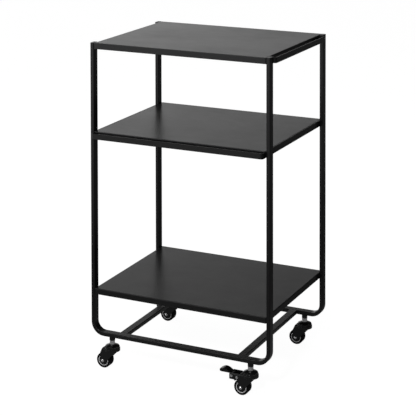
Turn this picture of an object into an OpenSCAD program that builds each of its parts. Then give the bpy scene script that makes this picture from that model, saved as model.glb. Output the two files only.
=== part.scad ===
// Utility cart: two bent tube frames, three sheet shelves and four swivel castors.
// The middle shelf is a tray that pulls out to the front on two angle runners.
// Millimetres, +Z up, +Y to the back, floor at z = 0.

/* [Frame] */
// Width over the posts
cart_w = 492; // [420:1:700]
// Depth over the posts
cart_d = 370; // [300:1:500]
// Height of the top shelf above the floor
cart_h = 824; // [760:1:1000]
// Tube size across the width of the cart
tube_w = 10; // [8:0.5:14]
// Tube size from front to back
tube_d = 20; // [18:0.5:26]
// Wall of the tubes
tube_wall = 1.2; // [0.8:0.1:1.8]
// Rounding of the tube's long edges
tube_r = 1.5; // [0.5:0.1:2.5]
// Outside radius of the bends at the foot of the posts
bend_r = 34; // [28:1:50]
// Thickness of the lids that close the posts
lid_t = 1.5; // [1:0.1:3]
// Length of the plug under each lid
plug_h = 8; // [4:0.5:15]
// Width of the two cross tubes at the base
cross_w = 20; // [16:0.5:24]
// Cross tube centre lines, measured in from the sides of the cart
cross_inset = 83; // [75:1:130]

/* [Shelves] */
// Thickness of the shelf sheet
sheet_t = 1.2; // [0.8:0.1:2]
// Outside radius of the sheet's folded edges
fold_r = 2; // [1.6:0.1:3.5]
// Outside radius of the shelves' upright corners
corner_r = 3; // [2.2:0.1:6]
// Height of the folded edge of the top shelf
top_edge = 15.5; // [12:0.5:24]
// Height of the folded edge of the bottom shelf
bottom_edge = 15; // [12:0.5:24]
// Height of the bottom shelf's surface above the floor
bottom_z = 200; // [160:1:300]

/* [Tray] */
// Height of the tray's surface above the floor
tray_z = 600; // [480:1:700]
// Height of the tray's folded edges
tray_edge = 14; // [12:0.5:22]
// How far the tray's panel stands in front of the posts
tray_proud = 2; // [1:0.5:6]
// How far the tray can be pulled out
tray_travel = 220; // [100:5:250]
// Side clearance between the tray and each runner
tray_gap = 0.3; // [0.2:0.05:1]
// Clearance under the tray's folded edges
tray_lift = 0.3; // [0.2:0.05:0.6]
// Thickness of the runners
runner_t = 1.2; // [1:0.1:2]
// Width of the runners' bottom legs
runner_leg = 16; // [12:0.5:22]
// Thickness of the clips that keep the tray down when it is out
clip_t = 1.5; // [1:0.1:2.5]
// Length of each clip from front to back
clip_len = 24; // [15:1:50]
// Length of the stop blocks at the front of the runners
stop_len = 8; // [5:0.5:15]
// Setback of the stop blocks behind the front posts
stop_back = 4; // [2:0.5:20]
// Gap between clips and stops at full travel, and between clips and runners
clip_gap = 0.4; // [0.3:0.05:1]

/* [Grips] */
// Height of the grip strips
grip_h = 14; // [12:0.5:24]
// Thickness of the grip strips
grip_t = 2; // [1.5:0.1:3]
// Outside radius of the grips' corners
grip_r = 7; // [4:0.5:10]
// How far the tray's grip stands in front of the posts
tray_grip_out = 17.5; // [14:0.5:30]
// Drop of the tray's grip below the tray's surface
tray_grip_drop = 2; // [0:0.1:4]
// How far the top grip stands out beside the posts
top_grip_out = 6.5; // [2:0.5:20]
// Drop of the top grip below the shelf's surface
top_grip_drop = 1.8; // [0:0.1:3]
// Gap between the top grip and the posts in front of and behind it
top_grip_gap = 1.5; // [0.5:0.1:10]

/* [Castors] */
// Stem centre lines, measured in from the sides of the cart
stem_inset = 55; // [52:1:60]
// Wheel diameter
wheel_d = 38.6; // [34:0.2:46]
// Wheel width
wheel_w = 21; // [16:0.5:24]
// Distance of the axle behind the stem
trail = 20.5; // [16:0.5:24]
// Diameter of the stem
stem_d = 8; // [6:0.5:10]
// Diameter of the sockets under the rails
socket_d = 14.5; // [12:0.5:18]
// Height of the sockets
socket_h = 9.3; // [6:0.1:20]
// Width across the flats of the stem nut
nut_af = 13; // [11:0.5:16]
// Height of the stem nut's six-sided part
nut_h = 7.1; // [4:0.1:10]
// Height of the round collar under the nut
collar_h = 2.5; // [1:0.5:4]
// Diameter of the round skirt around the fork's crown
skirt_d = 39.4; // [34:0.2:44]
// Height of the skirt
skirt_h = 6.2; // [4:0.1:9]
// Amount by which the cup's radius is smaller than the skirt's
cup_inset = 1.3; // [0.5:0.1:3]
// Height of the swivel's cup above the crown
cup_h = 4.2; // [2:0.1:6]
// Height of the domed cap over the swivel
dome_h = 5.5; // [4:0.1:8]
// Height of the dome's upright rim
dome_rim = 1.2; // [0.4:0.1:2.5]
// Amount by which the dome's radius is smaller than the cup's
dome_inset = 0.8; // [0.5:0.1:3]
// Clearance between dome and cup
swivel_gap = 0.4; // [0.3:0.05:0.8]
// Radial clearance of the fork on its stem and of the wheel on its axle
run_gap = 0.05; // [0.02:0.01:0.09]
// Thickness of the fork's sheet
fork_t = 2.2; // [1.5:0.1:3]
// Clearance between wheel and fork at each side
fork_side = 0.9; // [0.4:0.1:2]
// Clearance between the wheel and the fork's crown
fork_over = 10.7; // [6:0.1:16]
// Reach of the fork's crown behind the stem
crown_back = 22.5; // [21:0.5:25]
// Reach of the fork's crown in front of the stem
crown_front = 15; // [12:0.5:18]
// Radius of the fork's ends around the axle
fork_end_r = 7.5; // [6:0.5:9]
// Diameter of the axle
axle_d = 6; // [5:0.5:7]
// Diameter of the axle's domed head
head_d = 8.6; // [8:0.1:10]
// Height of the axle's head and of its nut
head_h = 3.9; // [2.5:0.1:5]
// Radial thickness of the tyre
tyre_t = 5.8; // [4:0.1:7]
// Rounding of the tyre's edges
tyre_r = 1.6; // [1:0.1:3]
// Width of the light ring at the edge of the wheel's core
ring_w = 1.5; // [1:0.1:3]
// Depth of the recess inside the ring
recess = 2.5; // [1.5:0.1:4]
// Thickness of the discs that cover the recess
cover_t = 1.8; // [1:0.1:2.4]
// Diameter of the hole in each disc
cover_hole = 11; // [10:0.5:14]

/* [Brakes] */
// Distance of the pedal's pin from the tread
pin_out = 16; // [14:0.1:20]
// Angle of the pedal's pin above the axle
pin_angle = 46; // [40:0.5:50]
// Diameter of the pedal's pin
pin_d = 5; // [4:0.1:6]
// Distance of the bracket's bolt from the tread
bolt_out = 6.1; // [4:0.1:8]
// Angle of the bracket's bolt above the axle
bolt_angle = 67; // [62:0.5:72]
// Diameter of the bracket's bolt
bolt_d = 3.5; // [3:0.1:4]
// Diameter of the heads of pin and bolt
rivet_d = 7.4; // [6:0.1:8]
// Height of the heads of pin and bolt
rivet_h = 2; // [1:0.1:3]
// Reach of the bracket behind its pin
ear_back = 5.8; // [4.5:0.1:8]
// Reach of the bracket below its pin
ear_drop = 8.1; // [5:0.1:10]
// Radius of the bracket's corners
ear_r = 2.5; // [1:0.1:4]
// Width of the pedal
pedal_w = 20; // [14:0.5:21]
// Side play between the pedal's barrel and the bracket
pedal_side = 1.4; // [0.5:0.1:3]
// Radius of the pedal's arch
pedal_r = 20; // [17:0.5:23]
// Distance of the arch's centre behind the pin
pedal_back = 21.8; // [19:0.1:27]
// Drop of the arch's centre below the pin
pedal_drop = 7; // [5:0.1:9]
// Where the pedal's tip ends on the arch
tip_angle = 137; // [130:1:145]
// Where the arch runs out into the straight root
root_angle = 56; // [50:1:65]
// Thickness of the pedal
pedal_t = 2.4; // [2:0.1:3.5]
// Height of the pedal's side walls' lower edge above the pin
wall_rise = 4.4; // [3.5:0.1:7]
// Radius of the pedal's barrel around its pin
barrel_r = 4.6; // [4.3:0.1:5]
// Radius of the shoe that meets the tread
shoe_r = 2.5; // [2:0.1:3]
// Width of the shoe and its arm
shoe_w = 10; // [6:1:16]
// Angle between the pressed shoe's arm and the line from pin to axle
arm_angle = 4; // [0:1:10]
// Angle through which the pedal is pressed
press_angle = 16; // [10:1:20]
// Gap left between shoe and tread when the pedal is down
shoe_gap = 0.35; // [0.3:0.05:1]

/* [Hidden] */
$fn = 64;
past = 1;
// Castor heights, from the floor up
wheel_r = wheel_d / 2;
core_r = wheel_r - tyre_t;
crown_z = wheel_d + fork_over + fork_t;
dome_z = crown_z + cup_h + swivel_gap;
collar_z = dome_z + dome_h;
nut_z = collar_z + collar_h;
socket_z = nut_z + nut_h;
rail_z = socket_z + socket_h;
// Plan of the frame
half_w = cart_w / 2;
half_d = cart_d / 2;
inner_w = cart_w - 2 * tube_w;
stem_x = half_w - stem_inset;
stem_y = half_d - tube_d / 2;
// Tray and runners
runner_h = tray_edge + tray_lift + runner_t;
tray_w = inner_w - 2 * (runner_t + tray_gap);
tray_d = cart_d + tray_proud;
leg_end_x = inner_w / 2 - runner_leg;
clip_x = leg_end_x - clip_gap - clip_t;
stop_y = -half_d + tube_d + stop_back;
clip_y = stop_y + stop_len + clip_gap + tray_travel;
stop_h = 7;
stop_x = clip_x;
stop_w = inner_w / 2 - runner_t - tray_gap - sheet_t - 1 - stop_x;
// Castor widths
skirt_r = skirt_d / 2;
cup_r = skirt_r - cup_inset;
fork_in = wheel_w / 2 + fork_side;
fork_out = fork_in + fork_t;
cup_t = 1.5;
fork_bend = fork_t + 1.5;
// Closed end of the axle nut
nut_skin = 0.5;
// Brake positions, measured from the stem
pin_x = -trail - (wheel_r + pin_out) * cos(pin_angle);
pin_z = wheel_r + (wheel_r + pin_out) * sin(pin_angle);
bolt_x = -trail - (wheel_r + bolt_out) * cos(bolt_angle);
bolt_z = wheel_r + (wheel_r + bolt_out) * sin(bolt_angle);
barrel_w = 2 * (fork_in - pedal_side);
// The shoe's arm, long enough to leave the set gap when the pedal is down
pin_reach = wheel_r + pin_out;
shoe_reach = wheel_r + shoe_r + shoe_gap;
arm_far = pin_reach * cos(arm_angle);
arm_side = pin_reach * sin(arm_angle);
arm_len = arm_far - sqrt(shoe_reach * shoe_reach - arm_side * arm_side);
arm_dir = -pin_angle - arm_angle - press_angle;
// The origin is the middle of the whole cart's plan with the brakes and grips
pedal_tip = pin_x - pedal_back + pedal_r * cos(tip_angle);
reach_left = max(half_w, stem_x - pedal_tip);
reach_right = half_w + top_grip_out;
reach_front = half_d + tray_grip_out;
reach_back = stem_y + max(skirt_r, fork_out + head_h);
shift_x = (reach_left - reach_right) / 2;
shift_y = (reach_front - reach_back) / 2;

// Moves a piece drawn about the middle of the frame to the cart's origin.
module placed() {
  translate([shift_x, shift_y, 0]) children();
}

// Puts a castor piece on its stem: sx is -1 at the left, sy is -1 at the front.
module castor(sx, sy) {
  placed() translate([sx * stem_x, sy * stem_y, 0]) children();
}

// Moves a wheel piece, drawn about Z, to the axle.
module on_axle() {
  translate([-trail, 0, wheel_r]) rotate([90, 0, 0]) children();
}

// Extrudes a side profile to both sides of the castor's middle plane.
module across(w) {
  translate([0, w / 2, 0]) rotate([90, 0, 0]) linear_extrude(w) children();
}

// Section of a tube with rounded edges, less an inset for its bore.
module tube_section(w, d, inset) {
  r = max(tube_r - inset, 0.2);
  x = w / 2 - inset;
  y = d / 2 - inset;
  square([2 * x, 2 * (y - r)], center = true);
  square([2 * (x - r), 2 * y], center = true);
  for (i = [-1, 1], j = [-1, 1])
    translate([i * (x - r), j * (y - r)]) circle(r);
}

// Solid in the shape of one bent frame; the inset makes the bore.
module frame_core(inset, top) {
  bend_x = half_w - bend_r;
  bend_z = rail_z + bend_r;
  for (i = [-1, 1])
    translate([i * (half_w - tube_w / 2), 0, bend_z])
      linear_extrude(top - bend_z) tube_section(tube_w, tube_d, inset);
  translate([-bend_x, 0, rail_z + tube_w / 2]) rotate([0, 90, 0])
    linear_extrude(2 * bend_x) tube_section(tube_w, tube_d, inset);
  translate([bend_x, 0, bend_z]) rotate([90, 0, 0]) rotate([0, 0, -90])
    rotate_extrude(angle = 90)
      translate([bend_r - tube_w / 2, 0]) tube_section(tube_w, tube_d, inset);
  translate([-bend_x, 0, bend_z]) rotate([90, 0, 0]) rotate([0, 0, 180])
    rotate_extrude(angle = 90)
      translate([bend_r - tube_w / 2, 0]) tube_section(tube_w, tube_d, inset);
}

// One bent frame with the holes for its two stems.
module bent_frame(side) {
  color([0.2, 0.2, 0.21]) placed() translate([0, side * stem_y, 0])
    difference() {
      frame_core(0, cart_h - lid_t);
      frame_core(tube_wall, cart_h - lid_t + past);
      for (i = [-1, 1])
        translate([i * stem_x, 0, rail_z - past])
          cylinder(d = stem_d, h = tube_w / 2 + past);
    }
}

module front_frame() {
  bent_frame(-1);
}

module rear_frame() {
  bent_frame(1);
}

// A cross tube from rail to rail.
module cross_tube(side) {
  len = cart_d - 2 * tube_d;
  color([0.2, 0.2, 0.21]) placed()
    translate([side * (half_w - cross_inset), len / 2, rail_z + tube_w / 2])
      rotate([90, 0, 0]) difference() {
        linear_extrude(len) tube_section(cross_w, tube_w, 0);
        translate([0, 0, -past])
          linear_extrude(len + 2 * past) tube_section(cross_w, tube_w, tube_wall);
      }
}

module left_cross_tube() {
  cross_tube(-1);
}

module right_cross_tube() {
  cross_tube(1);
}

// A lid on each post with a plug that fills the tube below it.
module post_lids() {
  color([0.13, 0.13, 0.14]) placed()
    for (i = [-1, 1], j = [-1, 1])
      translate([i * (half_w - tube_w / 2), j * stem_y, cart_h - lid_t]) {
        linear_extrude(lid_t) tube_section(tube_w, tube_d, 0);
        translate([0, 0, -plug_h])
          linear_extrude(plug_h) tube_section(tube_w, tube_d, tube_wall);
      }
}

// Threaded sockets under the rails.
module stem_sockets() {
  color([0.08, 0.08, 0.085]) placed()
    for (i = [-1, 1], j = [-1, 1])
      translate([i * stem_x, j * stem_y, socket_z]) difference() {
        cylinder(d = socket_d, h = socket_h);
        translate([0, 0, -past]) cylinder(d = stem_d, h = socket_h + 2 * past);
      }
}

// Side view of a block with rounded upper corners, its top at y = 0.
module rounded_top(w, h, r) {
  translate([-w / 2, -h]) square([w, h - r]);
  translate([-w / 2 + r, -r]) square([w - 2 * r, r]);
  for (i = [-1, 1])
    translate([i * (w / 2 - r), -r]) circle(r);
}

// Rectangle with round corners.
module round_plate(w, d, r) {
  square([w, d - 2 * r], center = true);
  square([w - 2 * r, d], center = true);
  for (i = [-1, 1], j = [-1, 1])
    translate([i * (w / 2 - r), j * (d / 2 - r)]) circle(r);
}

// Block with rounded upper and upright edges, its top at z = 0; the inset makes its inside.
module fold_block(w, d, h, inset) {
  x = w - 2 * inset;
  y = d - 2 * inset;
  r = fold_r - inset;
  intersection() {
    translate([0, y / 2, 0]) rotate([90, 0, 0])
      linear_extrude(y) rounded_top(x, h, r);
    translate([-x / 2, 0, 0]) rotate([90, 0, 90])
      linear_extrude(x) rounded_top(y, h, r);
    translate([0, 0, -h]) linear_extrude(h) round_plate(x, y, corner_r - inset);
  }
}

// A sheet with all four edges folded down.
module folded_sheet(w, d, h) {
  difference() {
    fold_block(w, d, h, 0);
    translate([0, 0, -sheet_t]) fold_block(w, d, h, sheet_t);
  }
}

module top_shelf() {
  color([0.36, 0.36, 0.37]) placed() translate([0, 0, cart_h])
    folded_sheet(inner_w, cart_d, top_edge);
}

module bottom_shelf() {
  color([0.3, 0.3, 0.31]) placed() translate([0, 0, bottom_z])
    folded_sheet(inner_w, cart_d, bottom_edge);
}

// Flat strip bent to a U: the bar lies along x at y = 0, the legs run to +y.
module grip_strip(len, leg) {
  linear_extrude(grip_h) {
    translate([-len / 2 + grip_r, 0]) square([len - 2 * grip_r, grip_t]);
    for (i = [-1, 1]) {
      translate([i * (len / 2 - grip_t / 2), (leg + grip_r) / 2])
        square([grip_t, leg - grip_r], center = true);
      translate([i * (len / 2 - grip_r), grip_r]) intersection() {
        difference() {
          circle(grip_r);
          circle(grip_r - grip_t);
        }
        translate([(i - 1) / 2 * grip_r, -grip_r]) square(grip_r);
      }
    }
  }
}

// The push grip at the right of the top shelf.
module top_grip() {
  len = cart_d - 2 * tube_d - 2 * top_grip_gap;
  color([0.2, 0.2, 0.21]) placed()
    translate([half_w + top_grip_out, 0, cart_h - top_grip_drop - grip_h])
      rotate([0, 0, 90]) grip_strip(len, top_grip_out + tube_w);
}

// An angle runner from the front post to the rear post.
module runner(side) {
  color([0.2, 0.2, 0.21]) placed() mirror([side > 0 ? 1 : 0, 0, 0])
    translate([-inner_w / 2, -half_d, tray_z - runner_h]) {
      cube([runner_t, cart_d, runner_h]);
      cube([runner_leg, cart_d, runner_t]);
    }
}

module left_runner() {
  runner(-1);
}

module right_runner() {
  runner(1);
}

// Blocks on the runners that stop the tray's clips.
module runner_stops() {
  color([0.2, 0.2, 0.21]) placed()
    for (i = [0, 1]) mirror([i, 0, 0])
      translate([stop_x, stop_y, tray_z - runner_h + runner_t])
        cube([stop_w, stop_len, stop_h]);
}

// The sliding tray: folded down at the front and at both sides.
module tray() {
  color([0.33, 0.33, 0.34]) placed()
    translate([0, half_d, tray_z]) intersection() {
      difference() {
        fold_block(tray_w, 2 * tray_d, tray_edge, 0);
        translate([0, 0, -sheet_t]) fold_block(tray_w, 2 * tray_d, tray_edge, sheet_t);
      }
      translate([-tray_w, -2 * tray_d, -tray_edge]) cube([2 * tray_w, 2 * tray_d, tray_edge]);
    }
}

// The grip along the front of the tray.
module tray_grip() {
  color([0.2, 0.2, 0.21]) placed()
    translate([0, -half_d - tray_grip_out, tray_z - tray_grip_drop - grip_h])
      grip_strip(tray_w, tray_grip_out - tray_proud);
}

// Clips under the tray that reach below the runners.
module tray_clips() {
  drop = runner_h + clip_gap + clip_t;
  lip = runner_leg / 2;
  color([0.2, 0.2, 0.21]) placed()
    for (i = [0, 1]) mirror([i, 0, 0])
      translate([clip_x, clip_y, tray_z - drop]) {
        cube([clip_t, clip_len, drop - sheet_t]);
        cube([clip_t + clip_gap + lip, clip_len, clip_t]);
      }
}

// Stem with the rivet head that carries the fork.
module castor_stem() {
  color([0.75, 0.75, 0.77]) {
    translate([0, 0, crown_z - fork_t - swivel_gap])
      cylinder(d = stem_d, h = rail_z + tube_w / 2 - crown_z + fork_t + swivel_gap);
    translate([0, 0, crown_z - fork_t - swivel_gap - rivet_h])
      cylinder(d = stem_d + 6, h = rivet_h);
  }
}

// Nut with a round collar, tightened against the socket.
module castor_nut() {
  color([0.78, 0.78, 0.8]) translate([0, 0, collar_z]) difference() {
    union() {
      cylinder(d = nut_af + 1, h = collar_h);
      intersection() {
        translate([0, 0, collar_h])
          cylinder(d = nut_af / cos(30), h = nut_h, $fn = 6);
        cylinder(d1 = nut_af + 2 * nut_h, d2 = nut_af, h = collar_h + nut_h);
      }
    }
    translate([0, 0, -past]) cylinder(d = stem_d, h = collar_h + nut_h + 2 * past);
  }
}

// Domed cap over the swivel, fixed to the stem.
module castor_dome() {
  r = cup_r - dome_inset;
  rise = dome_h - dome_rim;
  ball = (r * r + rise * rise) / (2 * rise);
  color([0.07, 0.07, 0.075]) translate([0, 0, dome_z]) rotate_extrude()
    intersection() {
      translate([0, dome_h - ball]) circle(ball, $fn = 256);
      translate([stem_d / 2, 0]) square([r - stem_d / 2, dome_h]);
    }
}

// Side profile of the fork's leg.
module leg_profile() {
  low = crown_z - skirt_h;
  translate([-trail, wheel_r]) circle(fork_end_r);
  polygon([
    [-crown_back, crown_z], [crown_front, crown_z], [crown_front, low],
    [-trail + fork_end_r * cos(-25), wheel_r + fork_end_r * sin(-25)],
    [-trail, wheel_r], [-trail - fork_end_r, wheel_r],
    [-trail - fork_end_r, low - skirt_h], [-(crown_back + trail + fork_end_r) / 2, low]
  ]);
}

// Side profile of the bracket that holds the brake's pin and bolt.
module ear_profile() {
  high = crown_z - pin_z + ear_drop;
  translate([pin_x - ear_back, pin_z - ear_drop]) {
    translate([ear_r, 0]) square([ear_back - pin_x - crown_back, high]);
    translate([0, ear_r]) square([2 * ear_r, high - 2 * ear_r]);
    for (z = [ear_r, high - ear_r])
      translate([ear_r, z]) circle(ear_r);
  }
}

// Sheet of the fork bent to a U, along the whole length of crown and bracket.
module bent_sheet() {
  reach = ear_back - pin_x;
  difference() {
    translate([-reach, 0, crown_z]) rotate([90, 0, 90])
      linear_extrude(reach + crown_front)
        rounded_top(2 * fork_out, crown_z, fork_bend);
    translate([-reach - past, 0, crown_z - fork_t]) rotate([90, 0, 90])
      linear_extrude(reach + crown_front + 2 * past)
        rounded_top(2 * fork_in, crown_z, fork_bend - fork_t);
    translate([-reach - past, -fork_in, 0])
      cube([reach + past - crown_back, 2 * fork_in, crown_z + past]);
  }
}

// Round skirt under the crown and the swivel's cup on top of it.
module swivel_head() {
  difference() {
    translate([0, 0, crown_z - skirt_h]) cylinder(r = skirt_r, h = skirt_h);
    translate([0, 0, crown_z - skirt_h - past])
      cylinder(r = skirt_r - fork_t, h = skirt_h - fork_t + past);
  }
  difference() {
    translate([0, 0, crown_z]) cylinder(r = cup_r, h = cup_h);
    translate([0, 0, crown_z + cup_t]) cylinder(r = cup_r - cup_t, h = cup_h);
  }
}

// Pressed fork: crown, two legs and the swivel's lower half.
module castor_fork(braked) {
  color([0.07, 0.07, 0.075]) difference() {
    union() {
      intersection() {
        across(2 * fork_out) union() {
          leg_profile();
          if (braked) ear_profile();
        }
        bent_sheet();
      }
      swivel_head();
    }
    translate([0, 0, crown_z - fork_t - past])
      cylinder(r = stem_d / 2 + run_gap, h = cup_h + fork_t + 2 * past);
    on_axle() cylinder(d = axle_d, h = 4 * fork_out, center = true);
    if (braked) {
      translate([pin_x, 0, pin_z]) rotate([90, 0, 0])
        cylinder(d = pin_d, h = 4 * fork_out, center = true);
      translate([bolt_x, 0, bolt_z]) rotate([90, 0, 0])
        cylinder(d = bolt_d, h = 4 * fork_out, center = true);
    }
  }
}

// Axle with a low domed head at the front.
module castor_axle() {
  ball = (head_d * head_d / 4 + head_h * head_h) / (2 * head_h);
  color([0.72, 0.72, 0.74]) on_axle() {
    translate([0, 0, -fork_out - head_h + nut_skin])
      cylinder(d = axle_d, h = 2 * fork_out + head_h - nut_skin);
    translate([0, 0, fork_out]) rotate_extrude() intersection() {
      translate([0, head_h - ball]) circle(ball);
      square([head_d / 2, head_h]);
    }
  }
}

// Six-sided nut on the back end of the axle.
module castor_axle_nut() {
  color([0.72, 0.72, 0.74]) on_axle() translate([0, 0, -fork_out - head_h])
    difference() {
      cylinder(d = (head_d + 1) / cos(30), h = head_h, $fn = 6);
      translate([0, 0, nut_skin]) cylinder(d = axle_d, h = head_h);
    }
}

// Half section of the tyre.
module tyre_section() {
  translate([core_r, -wheel_w / 2]) square([tyre_t - tyre_r, wheel_w]);
  translate([core_r, -wheel_w / 2 + tyre_r]) square([tyre_t, wheel_w - 2 * tyre_r]);
  for (i = [-1, 1])
    translate([wheel_r - tyre_r, i * (wheel_w / 2 - tyre_r)]) circle(tyre_r);
}

module castor_tyre() {
  color([0.06, 0.06, 0.062]) on_axle() rotate_extrude() tyre_section();
}

// Light core of the wheel with a recess at each side.
module castor_core() {
  color([0.6, 0.6, 0.61]) on_axle() difference() {
    cylinder(r = core_r, h = wheel_w, center = true);
    for (i = [0, 1]) mirror([0, 0, i])
      translate([0, 0, wheel_w / 2 - recess])
        difference() {
          cylinder(r = core_r - ring_w, h = recess + past);
          translate([0, 0, -past]) cylinder(d = cover_hole - 0.6, h = recess + past);
        }
    cylinder(r = axle_d / 2 + run_gap, h = 2 * wheel_w, center = true);
  }
}

// Dark discs in the recesses of the core.
module castor_covers() {
  color([0.07, 0.07, 0.075]) on_axle()
    for (i = [0, 1]) mirror([0, 0, i])
      translate([0, 0, wheel_w / 2 - recess]) difference() {
        cylinder(r = core_r - ring_w, h = cover_t);
        translate([0, 0, -past]) cylinder(d = cover_hole, h = cover_t + 2 * past);
      }
}

// Side profile of the pedal's hood, about the pin; the inset makes its inside.
module hood_profile(inset) {
  r = pedal_r - inset;
  root_x = -pedal_back + r * cos(root_angle);
  root_z = -pedal_drop + r * sin(root_angle);
  end_z = root_z + root_x / tan(root_angle);
  intersection() {
    union() {
      translate([-pedal_back, -pedal_drop]) circle(r);
      polygon([[-pedal_back, -pedal_drop], [root_x, root_z], [0, end_z], [0, 0]]);
    }
    translate([-2 * pedal_r - pedal_back, wall_rise - inset])
      square([2 * pedal_r + pedal_back, 2 * pedal_r]);
  }
}

// Plan of the pedal: straight sides and a round tip.
module pedal_plan(inset) {
  w = pedal_w - 2 * inset;
  tip_x = -pedal_back + pedal_r * cos(tip_angle) + pedal_w / 2;
  translate([tip_x, 0]) circle(d = w);
  translate([tip_x, -w / 2]) square([-tip_x, w]);
}

// Side view of the pedal's barrel and straight root, about the pin.
module root_profile() {
  root_x = -pedal_back + pedal_r * cos(root_angle);
  root_z = -pedal_drop + pedal_r * sin(root_angle);
  end_z = root_z + root_x / tan(root_angle);
  in_x = pedal_t * cos(root_angle);
  in_z = pedal_t * sin(root_angle);
  circle(barrel_r);
  polygon([[root_x, root_z], [0, end_z], [-in_x, end_z - in_z], [root_x - in_x, root_z - in_z]]);
}

// Side view of the shoe and its arm, about the pin.
module shoe_profile() {
  rotate([0, 0, arm_dir]) {
    translate([0, -shoe_r]) square([arm_len, 2 * shoe_r]);
    translate([arm_len, 0]) circle(shoe_r);
  }
}

// Brake pedal: a pressed hood with side walls, and a barrel and a shoe below its root.
module brake_pedal() {
  color([0.07, 0.07, 0.075]) translate([pin_x, 0, pin_z]) difference() {
    union() {
      across(barrel_w) root_profile();
      across(shoe_w) shoe_profile();
      difference() {
        intersection() {
          across(pedal_w) hood_profile(0);
          linear_extrude(2 * pedal_r) pedal_plan(0);
        }
        intersection() {
          across(pedal_w) hood_profile(pedal_t);
          linear_extrude(2 * pedal_r) pedal_plan(pedal_t);
        }
      }
    }
    rotate([90, 0, 0])
      cylinder(r = pin_d / 2 + run_gap, h = 2 * fork_out, center = true);
  }
}

// A pin with a low head at each end, through both sides of the bracket.
module headed_pin(x, z, d) {
  color([0.76, 0.76, 0.78]) translate([x, 0, z]) rotate([90, 0, 0]) {
    cylinder(d = d, h = 2 * fork_out, center = true);
    for (i = [0, 1]) mirror([0, 0, i])
      translate([0, 0, fork_out]) cylinder(d1 = rivet_d, d2 = rivet_d - 2, h = rivet_h);
  }
}

module brake_pin() {
  headed_pin(pin_x, pin_z, pin_d);
}

module brake_bolt() {
  headed_pin(bolt_x, bolt_z, bolt_d);
}

module fl_stem() {
  castor(-1, -1) castor_stem();
}

module fl_nut() {
  castor(-1, -1) castor_nut();
}

module fl_dome() {
  castor(-1, -1) castor_dome();
}

module fl_fork() {
  castor(-1, -1) castor_fork(false);
}

module fl_axle() {
  castor(-1, -1) castor_axle();
}

module fl_axle_nut() {
  castor(-1, -1) castor_axle_nut();
}

module fl_tyre() {
  castor(-1, -1) castor_tyre();
}

module fl_core() {
  castor(-1, -1) castor_core();
}

module fl_covers() {
  castor(-1, -1) castor_covers();
}

module fr_stem() {
  castor(1, -1) castor_stem();
}

module fr_nut() {
  castor(1, -1) castor_nut();
}

module fr_dome() {
  castor(1, -1) castor_dome();
}

module fr_fork() {
  castor(1, -1) castor_fork(true);
}

module fr_axle() {
  castor(1, -1) castor_axle();
}

module fr_axle_nut() {
  castor(1, -1) castor_axle_nut();
}

module fr_tyre() {
  castor(1, -1) castor_tyre();
}

module fr_core() {
  castor(1, -1) castor_core();
}

module fr_covers() {
  castor(1, -1) castor_covers();
}

module fr_pedal() {
  castor(1, -1) brake_pedal();
}

module fr_pin() {
  castor(1, -1) brake_pin();
}

module fr_bolt() {
  castor(1, -1) brake_bolt();
}

module bl_stem() {
  castor(-1, 1) castor_stem();
}

module bl_nut() {
  castor(-1, 1) castor_nut();
}

module bl_dome() {
  castor(-1, 1) castor_dome();
}

module bl_fork() {
  castor(-1, 1) castor_fork(true);
}

module bl_axle() {
  castor(-1, 1) castor_axle();
}

module bl_axle_nut() {
  castor(-1, 1) castor_axle_nut();
}

module bl_tyre() {
  castor(-1, 1) castor_tyre();
}

module bl_core() {
  castor(-1, 1) castor_core();
}

module bl_covers() {
  castor(-1, 1) castor_covers();
}

module bl_pedal() {
  castor(-1, 1) brake_pedal();
}

module bl_pin() {
  castor(-1, 1) brake_pin();
}

module bl_bolt() {
  castor(-1, 1) brake_bolt();
}

module br_stem() {
  castor(1, 1) castor_stem();
}

module br_nut() {
  castor(1, 1) castor_nut();
}

module br_dome() {
  castor(1, 1) castor_dome();
}

module br_fork() {
  castor(1, 1) castor_fork(false);
}

module br_axle() {
  castor(1, 1) castor_axle();
}

module br_axle_nut() {
  castor(1, 1) castor_axle_nut();
}

module br_tyre() {
  castor(1, 1) castor_tyre();
}

module br_core() {
  castor(1, 1) castor_core();
}

module br_covers() {
  castor(1, 1) castor_covers();
}

// Which piece to draw

front_frame();
rear_frame();
left_cross_tube();
right_cross_tube();
post_lids();
stem_sockets();
top_shelf();
top_grip();
bottom_shelf();
left_runner();
right_runner();
runner_stops();
tray();
tray_grip();
tray_clips();
fl_stem();
fl_nut();
fl_dome();
fl_fork();
fl_axle();
fl_axle_nut();
fl_tyre();
fl_core();
fl_covers();
fr_stem();
fr_nut();
fr_dome();
fr_fork();
fr_axle();
fr_axle_nut();
fr_tyre();
fr_core();
fr_covers();
fr_pedal();
fr_pin();
fr_bolt();
bl_stem();
bl_nut();
bl_dome();
bl_fork();
bl_axle();
bl_axle_nut();
bl_tyre();
bl_core();
bl_covers();
bl_pedal();
bl_pin();
bl_bolt();
br_stem();
br_nut();
br_dome();
br_fork();
br_axle();
br_axle_nut();
br_tyre();
br_core();
br_covers();
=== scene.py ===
import math

import bmesh
import bpy
from bpy.props import FloatProperty, FloatVectorProperty, IntProperty, PointerProperty
from bpy.types import Operator, Panel, PropertyGroup
from mathutils import Matrix, Vector


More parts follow.
